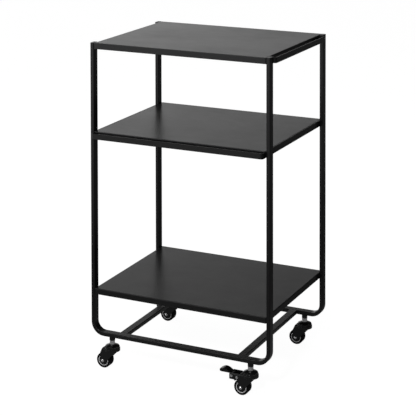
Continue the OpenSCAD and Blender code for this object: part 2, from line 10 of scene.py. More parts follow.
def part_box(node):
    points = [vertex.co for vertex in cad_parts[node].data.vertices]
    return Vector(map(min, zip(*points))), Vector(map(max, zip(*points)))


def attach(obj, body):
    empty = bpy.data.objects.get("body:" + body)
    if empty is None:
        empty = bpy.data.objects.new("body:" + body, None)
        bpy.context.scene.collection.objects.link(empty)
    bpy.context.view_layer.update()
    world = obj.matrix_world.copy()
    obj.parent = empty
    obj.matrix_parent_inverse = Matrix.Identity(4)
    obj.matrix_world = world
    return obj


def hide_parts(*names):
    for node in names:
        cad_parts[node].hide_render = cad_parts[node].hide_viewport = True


bl_info = {
    "name": "Utility Cart Finish",
    "version": (1, 0, 0),
    "blender": (4, 5, 0),
    "location": "View3D > Sidebar > Cart",
    "description": "Finishes and photographs a rolling utility cart with a pull-out tray",
    "category": "Object",
}

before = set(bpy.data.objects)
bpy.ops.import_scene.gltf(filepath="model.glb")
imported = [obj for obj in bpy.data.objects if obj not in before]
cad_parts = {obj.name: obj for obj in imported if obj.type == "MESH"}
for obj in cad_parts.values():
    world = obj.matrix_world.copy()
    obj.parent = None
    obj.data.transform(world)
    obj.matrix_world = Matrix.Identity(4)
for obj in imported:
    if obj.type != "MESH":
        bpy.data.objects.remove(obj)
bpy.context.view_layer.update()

MM = 0.001
FILM_WIDTH = 36.0
CASTORS = ("fl", "fr", "bl", "br")
BRAKED = ("fr", "bl")
X_AXIS = Vector((1.0, 0.0, 0.0))
Y_AXIS = Vector((0.0, 1.0, 0.0))
Z_AXIS = Vector((0.0, 0.0, 1.0))

WHITE = (1.0, 1.0, 1.0, 1.0)
PAINT_DUST = (0.42, 0.41, 0.39, 1.0)
ENAMEL_DUST = (0.36, 0.35, 0.33, 1.0)
RUBBED_ENAMEL = (0.16, 0.16, 0.165, 1.0)
SPECK_SCALE = 1500.0
FLECK_SCALE = 2400.0

# Mesh work: points this near are one, and faces this flat are one
SAME_POINT = 0.01 * MM
SAME_SPUN_POINT = 0.002 * MM
SAME_PLANE = math.radians(0.5)

# Shape of a weld bead, in its own radii and as swells from ring to ring
RIPPLE_LENGTH = 1.1
FEWEST_RIPPLES = 4
BEAD_TIP = 0.55
BEAD_SIDES = 10
TIP_SWELL = 1.7
CREST_SWELL = 1.19
TROUGH_SWELL = 0.84
END_SWELL = 0.55
GRIP_BEAD = 0.8
GRIP_SHEET = 2.0 * MM
WELD_SMOOTH = 60.0

# The large light over the cart and the small one in front: size, place and the point they face
TOP_LIGHT = (2.6, (-0.6, -0.6, 3.2), (0.0, 0.0, 0.6))
FRONT_LIGHT = (0.3, (0.72, -3.43, 2.6), (0.0, 0.0, 0.2))


# Measuring the frame


def corners(node):
    """Lowest and highest corner of a CAD node as vectors."""
    low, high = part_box(node)
    return Vector(low), Vector(high)


def middle(node):
    """Middle of a CAD node's box."""
    low, high = corners(node)
    return (low + high) / 2


def cad_object(node):
    """The shown object of a CAD node."""
    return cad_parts[node]


# Shader node helpers


def add_node(tree, kind, **settings):
    """Adds a node; settings name its properties."""
    node = tree.nodes.new(kind)
    for name, value in settings.items():
        setattr(node, name, value)
    return node


def feed(tree, source, target):
    """Links a source socket to a target socket, or sets a plain value on it."""
    if isinstance(source, bpy.types.NodeSocket):
        tree.links.new(source, target)
    else:
        target.default_value = source


def math_node(tree, operation, a, b):
    """Output of a Math node."""
    node = add_node(tree, "ShaderNodeMath", operation=operation)
    feed(tree, a, node.inputs[0])
    feed(tree, b, node.inputs[1])
    return node.outputs[0]


def product(tree, first, *others):
    """Product of two or more values."""
    for other in others:
        first = math_node(tree, "MULTIPLY", first, other)
    return first


def mapped(tree, value, low, high, to_low=0.0, to_high=1.0):
    """Output of a smooth Map Range node."""
    node = add_node(tree, "ShaderNodeMapRange", interpolation_type="SMOOTHSTEP")
    for socket, source in zip(node.inputs, (value, low, high, to_low, to_high)):
        feed(tree, source, socket)
    return node.outputs[0]


def mixed_colour(tree, factor, a, b):
    """Output of a Mix node that blends two colours."""
    node = add_node(tree, "ShaderNodeMix", data_type="RGBA")
    feed(tree, factor, node.inputs[0])
    feed(tree, a, node.inputs[6])
    feed(tree, b, node.inputs[7])
    return node.outputs[2]


def noise(tree, vector, scale, detail=3.0, roughness=0.5):
    """Output value of a Noise Texture."""
    node = add_node(tree, "ShaderNodeTexNoise")
    feed(tree, vector, node.inputs["Vector"])
    feed(tree, scale, node.inputs["Scale"])
    node.inputs["Detail"].default_value = detail
    node.inputs["Roughness"].default_value = roughness
    return node.outputs["Fac"]


def object_place(tree):
    """Object coordinates."""
    return add_node(tree, "ShaderNodeTexCoord").outputs["Object"]


def axes_of(tree, vector):
    """The X, Y and Z outputs of a vector."""
    node = add_node(tree, "ShaderNodeSeparateXYZ")
    feed(tree, vector, node.inputs[0])
    return node.outputs


def camera_or_cart(tree, to_camera, to_cart):
    """One value for what the camera sees directly, and another for the light that the cart receives."""
    blend = add_node(tree, "ShaderNodeMix", data_type="FLOAT")
    feed(tree, add_node(tree, "ShaderNodeLightPath").outputs["Is Camera Ray"], blend.inputs[0])
    feed(tree, to_cart, blend.inputs[2])
    feed(tree, to_camera, blend.inputs[3])
    return blend.outputs[0]


def new_group(name, inputs, outputs):
    """A shader node group with float inputs (name, default) and outputs (name, kind)."""
    group = bpy.data.node_groups.new(name, "ShaderNodeTree")
    for label, default in inputs:
        socket = group.interface.new_socket(label, in_out="INPUT", socket_type="NodeSocketFloat")
        socket.default_value = default
    for label, kind in outputs:
        group.interface.new_socket(label, in_out="OUTPUT", socket_type=kind)
    return group, add_node(group, "NodeGroupInput").outputs, add_node(group, "NodeGroupOutput").inputs


def shared_group(name, build):
    """The node group of that name, built at its first use."""
    return bpy.data.node_groups.get(name) or build(name)


def build_soft_edges(name):
    """Rounds the light on an edge, and masks the strip where a finish wears thin."""
    group, given, result = new_group(
        name,
        [("Radius", 0.0008), ("Wear Size", 1.0)],
        [("Normal", "NodeSocketVector"), ("Worn", "NodeSocketFloat")],
    )
    bevel = add_node(group, "ShaderNodeBevel", samples=6)
    feed(group, given["Radius"], bevel.inputs["Radius"])
    flat = add_node(group, "ShaderNodeNewGeometry")
    turned = add_node(group, "ShaderNodeVectorMath", operation="DOT_PRODUCT")
    feed(group, bevel.outputs[0], turned.inputs[0])
    feed(group, flat.outputs["Normal"], turned.inputs[1])
    bend = math_node(group, "SUBTRACT", 1.0, turned.outputs["Value"])
    patchy = noise(group, object_place(group), scale=240.0, detail=5.0, roughness=0.65)
    wear = product(group, bend, given["Wear Size"], patchy)
    feed(group, bevel.outputs[0], result["Normal"])
    feed(group, mapped(group, wear, low=0.09, high=0.3), result["Worn"])
    return group


def build_grain(name):
    """A fine pebbled height, with a slow waviness under it."""
    group, given, result = new_group(
        name,
        [("Grain Scale", 900.0), ("Wave Scale", 30.0), ("Wave Share", 0.3)],
        [("Height", "NodeSocketFloat")],
    )
    place = object_place(group)
    pebbles = noise(group, place, given["Grain Scale"], detail=2.0, roughness=0.4)
    wave = noise(group, place, given["Wave Scale"], detail=1.0, roughness=0.3)
    slow = product(group, wave, given["Wave Share"])
    feed(group, math_node(group, "ADD", pebbles, slow), result["Height"])
    return group


def build_dust(name):
    """Mask of a thin dust film on faces that look up."""
    group, given, result = new_group(
        name, [("Amount", 0.1), ("Cloud Scale", 14.0)], [("Dust", "NodeSocketFloat")]
    )
    facing = axes_of(group, add_node(group, "ShaderNodeNewGeometry").outputs["Normal"])
    up = mapped(group, facing["Z"], low=0.55, high=0.98)
    place = object_place(group)
    cloudy = noise(group, place, given["Cloud Scale"], detail=4.0, roughness=0.6)
    specky = noise(group, place, SPECK_SCALE, detail=2.0, roughness=0.5)
    film = math_node(group, "ADD", mapped(group, cloudy, low=0.35, high=0.75),
                     mapped(group, specky, low=0.62, high=0.74))
    feed(group, product(group, film, up, given["Amount"]), result["Dust"])
    return group


def build_handling(name):
    """Variation of roughness and tone where hands and cloths have been."""
    group, given, result = new_group(
        name,
        [("Cloud Scale", 9.0), ("Streak Scale", 60.0)],
        [("Marks", "NodeSocketFloat"), ("Tone", "NodeSocketFloat")],
    )
    place = object_place(group)
    stretch = add_node(group, "ShaderNodeMapping", vector_type="POINT")
    feed(group, place, stretch.inputs["Vector"])
    stretch.inputs["Scale"].default_value = (0.5, 1.0, 0.7)
    streaks = noise(group, stretch.outputs[0], given["Streak Scale"], detail=5.0, roughness=0.7)
    clouds = noise(group, place, given["Cloud Scale"], detail=4.0, roughness=0.55)
    both = math_node(group, "ADD", product(group, streaks, 0.45), product(group, clouds, 0.55))
    broad = noise(group, place, scale=2.6, detail=3.0, roughness=0.5)
    feed(group, both, result["Marks"])
    feed(group, mapped(group, broad, low=0.3, high=0.7), result["Tone"])
    return group


def group_node(tree, name, build, **values):
    """A node that places a shared group with its own values."""
    node = add_node(tree, "ShaderNodeGroup", node_tree=shared_group(name, build))
    for label, value in values.items():
        node.inputs[label.replace("_", " ")].default_value = value
    return node.outputs


def new_material(name):
    """A material with a Principled BSDF; returns it with its tree and shader."""
    material = bpy.data.materials.new(name)
    material.use_nodes = True
    tree = material.node_tree
    return material, tree, tree.nodes["Principled BSDF"]


def bump(tree, height, strength, distance, normal=None):
    """Output normal of a Bump node."""
    node = add_node(tree, "ShaderNodeBump")
    node.inputs["Strength"].default_value = strength
    node.inputs["Distance"].default_value = distance
    feed(tree, height, node.inputs["Height"])
    if normal is not None:
        feed(tree, normal, node.inputs["Normal"])
    return node.outputs[0]


def shade(colour, factor=1.0):
    """A colour made lighter or darker, with full alpha."""
    return (*(min(1.0, channel * factor) for channel in colour[:3]), 1.0)


def powder_coat(name, colour, roughness, grain_scale, edge_radius, dust):
    """Baked powder paint: fine pebbles, soft edges that wear lighter, and a little dust."""
    material, tree, shader = new_material(name)
    edges = group_node(tree, "Soft Edges", build_soft_edges, Radius=edge_radius, Wear_Size=0.8)
    marks = group_node(tree, "Handling", build_handling)
    film = group_node(tree, "Dust Film", build_dust, Amount=dust)
    grain = group_node(tree, "Grain", build_grain, Grain_Scale=grain_scale, Wave_Scale=26.0, Wave_Share=0.25)
    tone = mixed_colour(tree, marks["Tone"], shade(colour, 0.92), shade(colour, 1.1))
    specky = noise(tree, object_place(tree), FLECK_SCALE, detail=2.0, roughness=0.6)
    flecks = mapped(tree, specky, low=0.66, high=0.8, to_high=0.5)
    speckled = mixed_colour(tree, flecks, tone, shade(colour, 1.5))
    worn = mixed_colour(tree, edges["Worn"], speckled, shade(colour, 1.8))
    rough = mapped(tree, marks["Marks"], low=0.25, high=0.75,
                   to_low=roughness - 0.02, to_high=roughness + 0.03)
    relief = bump(tree, grain["Height"], strength=0.12, distance=0.0001, normal=edges["Normal"])
    feed(tree, mixed_colour(tree, film["Dust"], worn, PAINT_DUST), shader.inputs["Base Color"])
    feed(tree, rough, shader.inputs["Roughness"])
    feed(tree, relief, shader.inputs["Normal"])
    return material


def black_enamel(name, colour, roughness):
    """Smooth black dip paint on pressed steel, rubbed bright along its edges."""
    material, tree, shader = new_material(name)
    edges = group_node(tree, "Soft Edges", build_soft_edges, Radius=0.0006, Wear_Size=1.2)
    marks = group_node(tree, "Handling", build_handling, Cloud_Scale=60.0, Streak_Scale=240.0)
    film = group_node(tree, "Dust Film", build_dust, Amount=0.02, Cloud_Scale=50.0)
    grain = group_node(tree, "Grain", build_grain, Grain_Scale=700.0, Wave_Scale=120.0, Wave_Share=0.8)
    worn = mixed_colour(tree, edges["Worn"], shade(colour), RUBBED_ENAMEL)
    rough = mapped(tree, marks["Marks"], low=0.3, high=0.7,
                   to_low=roughness - 0.02, to_high=roughness + 0.06)
    relief = bump(tree, grain["Height"], strength=0.08, distance=0.0001, normal=edges["Normal"])
    feed(tree, mixed_colour(tree, film["Dust"], worn, ENAMEL_DUST), shader.inputs["Base Color"])
    feed(tree, rough, shader.inputs["Roughness"])
    feed(tree, relief, shader.inputs["Normal"])
    return material


def bright_plate(name, colour):
    """Bright zinc or nickel plate with fine turning lines and dull spots."""
    material, tree, shader = new_material(name)
    edges = group_node(tree, "Soft Edges", build_soft_edges, Radius=0.0003, Wear_Size=0.6)
    place = object_place(tree)
    spotty = noise(tree, place, scale=420.0, detail=4.0, roughness=0.65)
    spots = mapped(tree, spotty, low=0.5, high=0.72)
    lines = add_node(tree, "ShaderNodeTexWave", wave_type="BANDS", bands_direction="Z")
    feed(tree, place, lines.inputs["Vector"])
    lines.inputs["Scale"].default_value = 520.0
    lines.inputs["Distortion"].default_value = 1.4
    shader.inputs["Metallic"].default_value = 1.0
    relief = bump(tree, lines.outputs["Fac"], strength=0.05, distance=0.00005, normal=edges["Normal"])
    feed(tree, mixed_colour(tree, spots, shade(colour), shade(colour, 0.72)), shader.inputs["Base Color"])
    feed(tree, mapped(tree, spots, low=0.0, high=1.0, to_low=0.2, to_high=0.38), shader.inputs["Roughness"])
    feed(tree, relief, shader.inputs["Normal"])
    return material


def tyre_rubber(name, colour):
    """Dull black rubber with a fine moulded skin and scuffs that are greyer and rougher."""
    material, tree, shader = new_material(name)
    grain = group_node(tree, "Grain", build_grain, Grain_Scale=1600.0, Wave_Scale=200.0, Wave_Share=0.4)
    patchy = noise(tree, object_place(tree), scale=130.0, detail=5.0, roughness=0.7)
    scuff = mapped(tree, patchy, low=0.46, high=0.8)
    shader.inputs["Specular IOR Level"].default_value = 0.1
    feed(tree, mixed_colour(tree, scuff, shade(colour), shade(colour, 2.2)), shader.inputs["Base Color"])
    feed(tree, mapped(tree, scuff, low=0.0, high=1.0, to_low=0.58, to_high=0.8), shader.inputs["Roughness"])
    feed(tree, bump(tree, grain["Height"], strength=0.3, distance=0.0001), shader.inputs["Normal"])
    return material


def moulded_plastic(name, colour, roughness):
    """Moulded plastic with a fine spark-eroded skin and faint flow clouds."""
    material, tree, shader = new_material(name)
    edges = group_node(tree, "Soft Edges", build_soft_edges, Radius=0.0004, Wear_Size=0.5)
    marks = group_node(tree, "Handling", build_handling, Cloud_Scale=80.0, Streak_Scale=200.0)
    grain = group_node(tree, "Grain", build_grain, Grain_Scale=1300.0, Wave_Scale=150.0, Wave_Share=0.5)
    clouds = mixed_colour(tree, marks["Tone"], shade(colour, 0.93), shade(colour, 1.06))
    rough = mapped(tree, marks["Marks"], low=0.3, high=0.7,
                   to_low=roughness - 0.05, to_high=roughness + 0.08)
    relief = bump(tree, grain["Height"], strength=0.2, distance=0.00008, normal=edges["Normal"])
    feed(tree, mixed_colour(tree, edges["Worn"], clouds, shade(colour, 1.25)), shader.inputs["Base Color"])
    feed(tree, rough, shader.inputs["Roughness"])
    feed(tree, relief, shader.inputs["Normal"])
    return material


def pale_floor(name, colour, glow, near_light, far_light):
    """Pale floor, white to the camera. The cart sees it dim near by, and bright far off to the left."""
    material, tree, shader = new_material(name)
    place = object_place(tree)
    tone = mapped(tree, noise(tree, place, scale=1.4, detail=3.0, roughness=0.5), low=0.3, high=0.7)
    feed(tree, mixed_colour(tree, tone, shade(colour, 0.9), shade(colour)), shader.inputs["Base Color"])
    pores = noise(tree, place, scale=320.0, detail=3.0, roughness=0.6)
    feed(tree, bump(tree, pores, strength=0.03, distance=0.0004), shader.inputs["Normal"])
    shader.inputs["Roughness"].default_value = 0.9
    shader.inputs["Specular IOR Level"].default_value = 0.1
    shader.inputs["Emission Color"].default_value = WHITE
    reach = add_node(tree, "ShaderNodeVectorMath", operation="LENGTH")
    feed(tree, place, reach.inputs[0])
    way = axes_of(tree, place)
    far = mapped(tree, reach.outputs["Value"], low=0.6, high=5.5)
    left = mapped(tree, way["X"], low=2.0, high=-2.0, to_low=0.1 * far_light, to_high=far_light)
    front = mapped(tree, way["Y"], low=1.5, high=-1.0, to_low=0.6)
    near = mapped(tree, reach.outputs["Value"], low=0.4, high=0.6, to_low=near_light, to_high=0.0)
    to_cart = math_node(tree, "ADD", product(tree, far, left, front), near)
    feed(tree, camera_or_cart(tree, glow, to_cart), shader.inputs["Emission Strength"])
    return material


def material_of(name, make, *values):
    """The material of that name, made at its first use."""
    return bpy.data.materials.get(name) or make(name, *values)


def paint_of(settings):
    """Powder coat of tubes and grips."""
    return material_of("charcoal_coat", powder_coat, settings.tube_colour, settings.tube_roughness,
                       settings.grain_scale, 0.0007, settings.dust)


def sheet_paint_of(settings):
    """Powder coat of shelves and tray."""
    return material_of("shelf_coat", powder_coat, settings.shelf_colour, settings.shelf_roughness,
                       settings.grain_scale, 0.0006, settings.dust)


def enamel_of(settings):
    """Black paint of the castors' pressed parts."""
    return material_of("black_enamel", black_enamel, settings.enamel_colour, settings.enamel_roughness)


def plate_of(settings):
    """Bright plate of the castors' small parts."""
    return material_of("bright_plate", bright_plate, settings.plate_colour)


def dress(node, material):
    """Gives a CAD node its material."""
    mesh = cad_object(node).data
    mesh.materials.clear()
    mesh.materials.append(material)


# Mesh helpers


def new_piece(name, bm, material, body, smooth_angle=35.0):
    """Turns a bmesh into a finished object that rides on a body."""
    mesh = bpy.data.meshes.new(name)
    bmesh.ops.recalc_face_normals(bm, faces=bm.faces)
    bm.to_mesh(mesh)
    bm.free()
    mesh.shade_smooth()
    mesh.set_sharp_from_angle(angle=math.radians(smooth_angle))
    mesh.materials.append(material)
    piece = bpy.data.objects.new(name, mesh)
    bpy.context.scene.collection.objects.link(piece)
    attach(piece, body)
    return piece


def merged_copy(node):
    """A bmesh of a CAD node with its loose triangles joined and its flat faces whole."""
    bm = bmesh.new()
    bm.from_mesh(cad_object(node).data)
    bmesh.ops.remove_doubles(bm, verts=bm.verts, dist=SAME_POINT)
    bmesh.ops.dissolve_limit(bm, angle_limit=SAME_PLANE, verts=bm.verts, edges=bm.edges)
    return bm


def pressed_copy(node, name, material, body, rounding):
    """A copy of a CAD node with rounded edges, shown in the node's place."""
    piece = new_piece(name, merged_copy(node), material, body)
    modifier = piece.modifiers.new("Rounded edges", "BEVEL")
    modifier.width = rounding
    modifier.segments = 2
    modifier.limit_method = "ANGLE"
    modifier.angle_limit = math.radians(40.0)
    modifier.harden_normals = False
    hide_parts(node)


def spin_profile(bm, points, centre, axis, steps):
    """Adds a closed ring: points are (radius, along) pairs of the profile, spun about the axis."""
    across = Z_AXIS if abs(axis.z) < 0.5 else X_AXIS
    ring = [bm.verts.new(centre + across * radius + axis * along) for radius, along in points]
    edges = [bm.edges.new((a, b)) for a, b in zip(ring, ring[1:] + ring[:1])]
    bmesh.ops.spin(bm, geom=ring + edges, cent=centre, axis=axis, angle=math.tau, steps=steps,
                   use_merge=True, use_normal_flip=False, use_duplicate=False)
    bmesh.ops.remove_doubles(bm, verts=bm.verts, dist=SAME_SPUN_POINT)


def weld_bead(bm, start, end, radius):
    """Adds a rippled bead of weld from start to end."""
    run = end - start
    rings = 2 * max(FEWEST_RIPPLES, round(run.length / (RIPPLE_LENGTH * radius)))
    turn = Z_AXIS.rotation_difference(run.normalized()).to_matrix().to_4x4()
    ring = bmesh.ops.create_circle(bm, cap_ends=True, radius=radius * BEAD_TIP, segments=BEAD_SIDES,
                                   matrix=Matrix.Translation(start) @ turn)["verts"]
    faces = {face for vert in ring for face in vert.link_faces}
    ripples = [TROUGH_SWELL if step % 2 else CREST_SWELL for step in range(1, rings - 1)]
    swells = [TIP_SWELL, *ripples, END_SWELL]
    for step, swell in enumerate(swells):
        grown = bmesh.ops.extrude_face_region(bm, geom=list(faces))["geom"]
        faces = {item for item in grown if isinstance(item, bmesh.types.BMFace)}
        ring = [item for item in grown if isinstance(item, bmesh.types.BMVert)]
        centre = start + run * (step / rings) + run / rings
        bmesh.ops.translate(bm, verts=ring, vec=run / rings)
        bmesh.ops.scale(bm, vec=(swell, swell, swell), space=Matrix.Translation(-centre), verts=ring)


# Settings


class CartPaintSettings(PropertyGroup):
    """Paint of tubes, grips, shelves and tray."""

    tube_colour: FloatVectorProperty(
        name="Tube colour", description="Powder coat of tubes, runners and grips",
        subtype="COLOR", size=3, min=0.0, max=1.0, default=(0.004, 0.004, 0.0042))
    shelf_colour: FloatVectorProperty(
        name="Shelf colour", description="Powder coat of shelves and tray",
        subtype="COLOR", size=3, min=0.0, max=1.0, default=(0.008, 0.008, 0.0083))
    tube_roughness: FloatProperty(
        name="Tube roughness", description="Roughness of the tubes' paint",
        subtype="FACTOR", min=0.0, max=1.0, default=0.32)
    shelf_roughness: FloatProperty(
        name="Shelf roughness", description="Roughness of the shelves' paint",
        subtype="FACTOR", min=0.0, max=1.0, default=0.3)
    grain_scale: FloatProperty(
        name="Grain scale", description="Pebbles of the paint, per metre",
        min=100.0, max=4000.0, default=1100.0)
    dust: FloatProperty(
        name="Dust", description="Amount of dust on faces that look up",
        subtype="FACTOR", min=0.0, max=1.0, default=0.03)
    weld_radius: FloatProperty(
        name="Weld radius", description="Radius of the weld beads",
        unit="LENGTH", min=0.0005, max=0.003, default=0.0012)


class CartWheelSettings(PropertyGroup):
    """Castors and wheels."""

    enamel_colour: FloatVectorProperty(
        name="Enamel colour", description="Black paint of forks, domes, sockets and pedals",
        subtype="COLOR", size=3, min=0.0, max=1.0, default=(0.004, 0.004, 0.0044))
    enamel_roughness: FloatProperty(
        name="Enamel roughness", description="Roughness of the black paint",
        subtype="FACTOR", min=0.0, max=1.0, default=0.11)
    plate_colour: FloatVectorProperty(
        name="Plate colour", description="Bright plate of nuts, stems and axles",
        subtype="COLOR", size=3, min=0.0, max=1.0, default=(0.86, 0.86, 0.87))
    rubber_colour: FloatVectorProperty(
        name="Rubber colour", description="Rubber of the tyres",
        subtype="COLOR", size=3, min=0.0, max=1.0, default=(0.003, 0.003, 0.0032))
    core_colour: FloatVectorProperty(
        name="Core colour", description="Light plastic of the wheels' cores",
        subtype="COLOR", size=3, min=0.0, max=1.0, default=(0.86, 0.86, 0.87))
    sheet_edge: FloatProperty(
        name="Pressed edge", description="Rounding of the forks' pressed edges",
        unit="LENGTH", min=0.0001, max=0.001, default=0.0005)
    tread_steps: IntProperty(
        name="Tread steps", description="Number of steps round a tyre", min=24, max=192, default=96)


class CartStageSettings(PropertyGroup):
    """Camera, lights and floor."""

    camera_place: FloatVectorProperty(
        name="Camera place", description="Where the camera stands",
        unit="LENGTH", size=3, default=(1.569035, -3.25312, 1.4552))
    camera_yaw: FloatProperty(
        name="Camera yaw", description="Turn of the view about the vertical",
        unit="ROTATION", default=math.radians(25.647))
    camera_pitch: FloatProperty(
        name="Camera pitch", description="Drop of the view below the horizon",
        unit="ROTATION", default=math.radians(2.102))
    camera_roll: FloatProperty(
        name="Camera roll", description="Roll of the view",
        unit="ROTATION", default=math.radians(-0.097))
    lens: FloatProperty(
        name="Lens", description="Focal length of the shifted lens on a 36 mm wide film, in millimetres",
        min=20.0, max=300.0, default=122.77)
    frame_drop: FloatProperty(
        name="Frame drop", description="Vertical shift of the picture from the lens's axis, in film widths",
        default=-0.8762)
    floor_size: FloatProperty(
        name="Floor size", description="Length of the floor's sides",
        unit="LENGTH", min=2.0, max=80.0, default=60.0)
    floor_colour: FloatVectorProperty(
        name="Floor colour", description="Floor under its glow",
        subtype="COLOR", size=3, min=0.0, max=1.0, default=(0.14, 0.14, 0.14))
    floor_glow: FloatProperty(
        name="Floor glow", description="Light that the floor sends to the camera alone",
        min=0.0, max=50.0, default=0.97)
    near_light: FloatProperty(
        name="Near light", description="Light that the floor under the cart sends back to it",
        min=0.0, max=5.0, default=0.12)
    far_light: FloatProperty(
        name="Far light", description="Light that the far floor sends to the cart",
        min=0.0, max=5.0, default=0.8)
    side_light: FloatProperty(
        name="Side light", description="Strength of the soft light from the left",
        min=0.0, max=5.0, default=1.65)
    front_share: FloatProperty(
        name="Front share", description="Share of the side light that also comes from the front",
        min=0.0, max=1.0, default=0.25)
    room_light: FloatProperty(
        name="Room light", description="Strength of the even light of the room",
        min=0.0, max=5.0, default=0.03)
    top_power: FloatProperty(
        name="Top light", description="Power of the large light over the cart",
        unit="POWER", min=0.0, max=2000.0, default=30.0)
    front_power: FloatProperty(
        name="Front light", description="Power of the small light high in front of the cart",
        unit="POWER", min=0.0, max=2000.0, default=42.0)


# Operators, one for each group of pieces


class CART_OT_finish_frames(Operator):
    """Paint the tube frames, cross tubes, runners and grips"""

    bl_idname = "cart.finish_frames"
    bl_label = "Finish Frames"

    def execute(self, context):
        paint = paint_of(context.scene.cart_paint)
        for node in ("front_frame", "rear_frame", "left_cross_tube", "right_cross_tube", "post_lids",
                     "left_runner", "right_runner", "runner_stops", "top_grip"):
            dress(node, paint)
        return {"FINISHED"}


class CART_OT_weld_frames(Operator):
    """Lay the weld beads that join the cart"""

    bl_idname = "cart.weld_frames"
    bl_label = "Weld Frames"

    def execute(self, context):
        settings = context.scene.cart_paint
        radius = settings.weld_radius
        bm = bmesh.new()
        self.weld_cross_tubes(bm, radius)
        self.weld_to_posts(bm, radius)
        self.weld_grip(bm, radius)
        new_piece("weld_beads", bm, paint_of(settings), "cart", WELD_SMOOTH)
        return {"FINISHED"}

    def weld_cross_tubes(self, bm, radius):
        """A bead down each side of a cross tube, and one below it, at both rails."""
        for node in ("left_cross_tube", "right_cross_tube"):
            low, high = corners(node)
            bottom, top = low.z + radius, high.z - radius
            for end in (low.y, high.y):
                y = end + math.copysign(radius * 0.3, low.y + high.y - 2 * end)
                for x in (low.x, high.x):
                    weld_bead(bm, Vector((x, y, bottom)), Vector((x, y, top)), radius)
                weld_bead(bm, Vector((low.x + radius, y, low.z)), Vector((high.x - radius, y, low.z)), radius)

    def weld_to_posts(self, bm, radius):
        """A bead under the edge of each shelf and runner where it meets a post."""
        front, back = corners("front_frame")
        depth = back.y - front.y
        for node in ("top_shelf", "bottom_shelf", "left_runner", "right_runner"):
            low, high = corners(node)
            sides = {"left_runner": (low.x,), "right_runner": (high.x,)}.get(node, (low.x, high.x))
            for x in sides:
                for edge, way in ((low.y, 1.0), (high.y, -1.0)):
                    ends = sorted((edge + way * 3.0 * radius, edge + way * (depth - 2.0 * radius)))
                    weld_bead(bm, *(Vector((x, y, low.z)) for y in ends), radius)

    def weld_grip(self, bm, radius):
        """A bead at each side of the push grip's legs."""
        low, high = corners("top_grip")
        x = corners("top_shelf")[1].x
        bottom, top = low.z + 2 * radius, high.z - 3 * radius
        for outer, way in ((low.y, 1.0), (high.y, -1.0)):
            for y in (outer, outer + way * GRIP_SHEET):
                weld_bead(bm, Vector((x, y, bottom)), Vector((x, y, top)), radius * GRIP_BEAD)


class CART_OT_finish_shelves(Operator):
    """Paint the top and bottom shelves"""

    bl_idname = "cart.finish_shelves"
    bl_label = "Finish Shelves"

    def execute(self, context):
        paint = sheet_paint_of(context.scene.cart_paint)
        for node in ("top_shelf", "bottom_shelf"):
            dress(node, paint)
        return {"FINISHED"}


class CART_OT_finish_tray(Operator):
    """Paint the pull-out tray, its finger grip and its clips"""

    bl_idname = "cart.finish_tray"
    bl_label = "Finish Tray"

    def execute(self, context):
        settings = context.scene.cart_paint
        dress("tray", sheet_paint_of(settings))
        dress("tray_grip", paint_of(settings))
        dress("tray_clips", paint_of(settings))
        self.weld_grip(settings)
        return {"FINISHED"}

    def weld_grip(self, settings):
        """A bead at the inner side of each leg of the grip."""
        radius = settings.weld_radius
        low, high = corners("tray_grip")
        y = corners("tray")[0].y
        bottom, top = low.z + 3 * radius, high.z - 4 * radius
        bm = bmesh.new()
        for outer, way in ((low.x, 1.0), (high.x, -1.0)):
            x = outer + way * GRIP_SHEET
            weld_bead(bm, Vector((x, y, bottom)), Vector((x, y, top)), radius * GRIP_BEAD)
        new_piece("tray_weld_beads", bm, paint_of(settings), "pull_tray", WELD_SMOOTH)


class CART_OT_make_swivels(Operator):
    """Finish sockets, nuts, stems and domes, and press the forks"""

    bl_idname = "cart.make_swivels"
    bl_label = "Make Swivels"

    def execute(self, context):
        settings = context.scene.cart_wheels
        enamel = enamel_of(settings)
        plate = plate_of(settings)
        dress("stem_sockets", enamel)
        for castor in CASTORS:
            for part in ("stem", "nut", "axle", "axle_nut"):
                dress(f"{castor}_{part}", plate)
            dress(f"{castor}_dome", enamel)
            pressed_copy(f"{castor}_fork", f"{castor}_pressed_fork", enamel, f"{castor}_castor",
                         settings.sheet_edge)
        return {"FINISHED"}


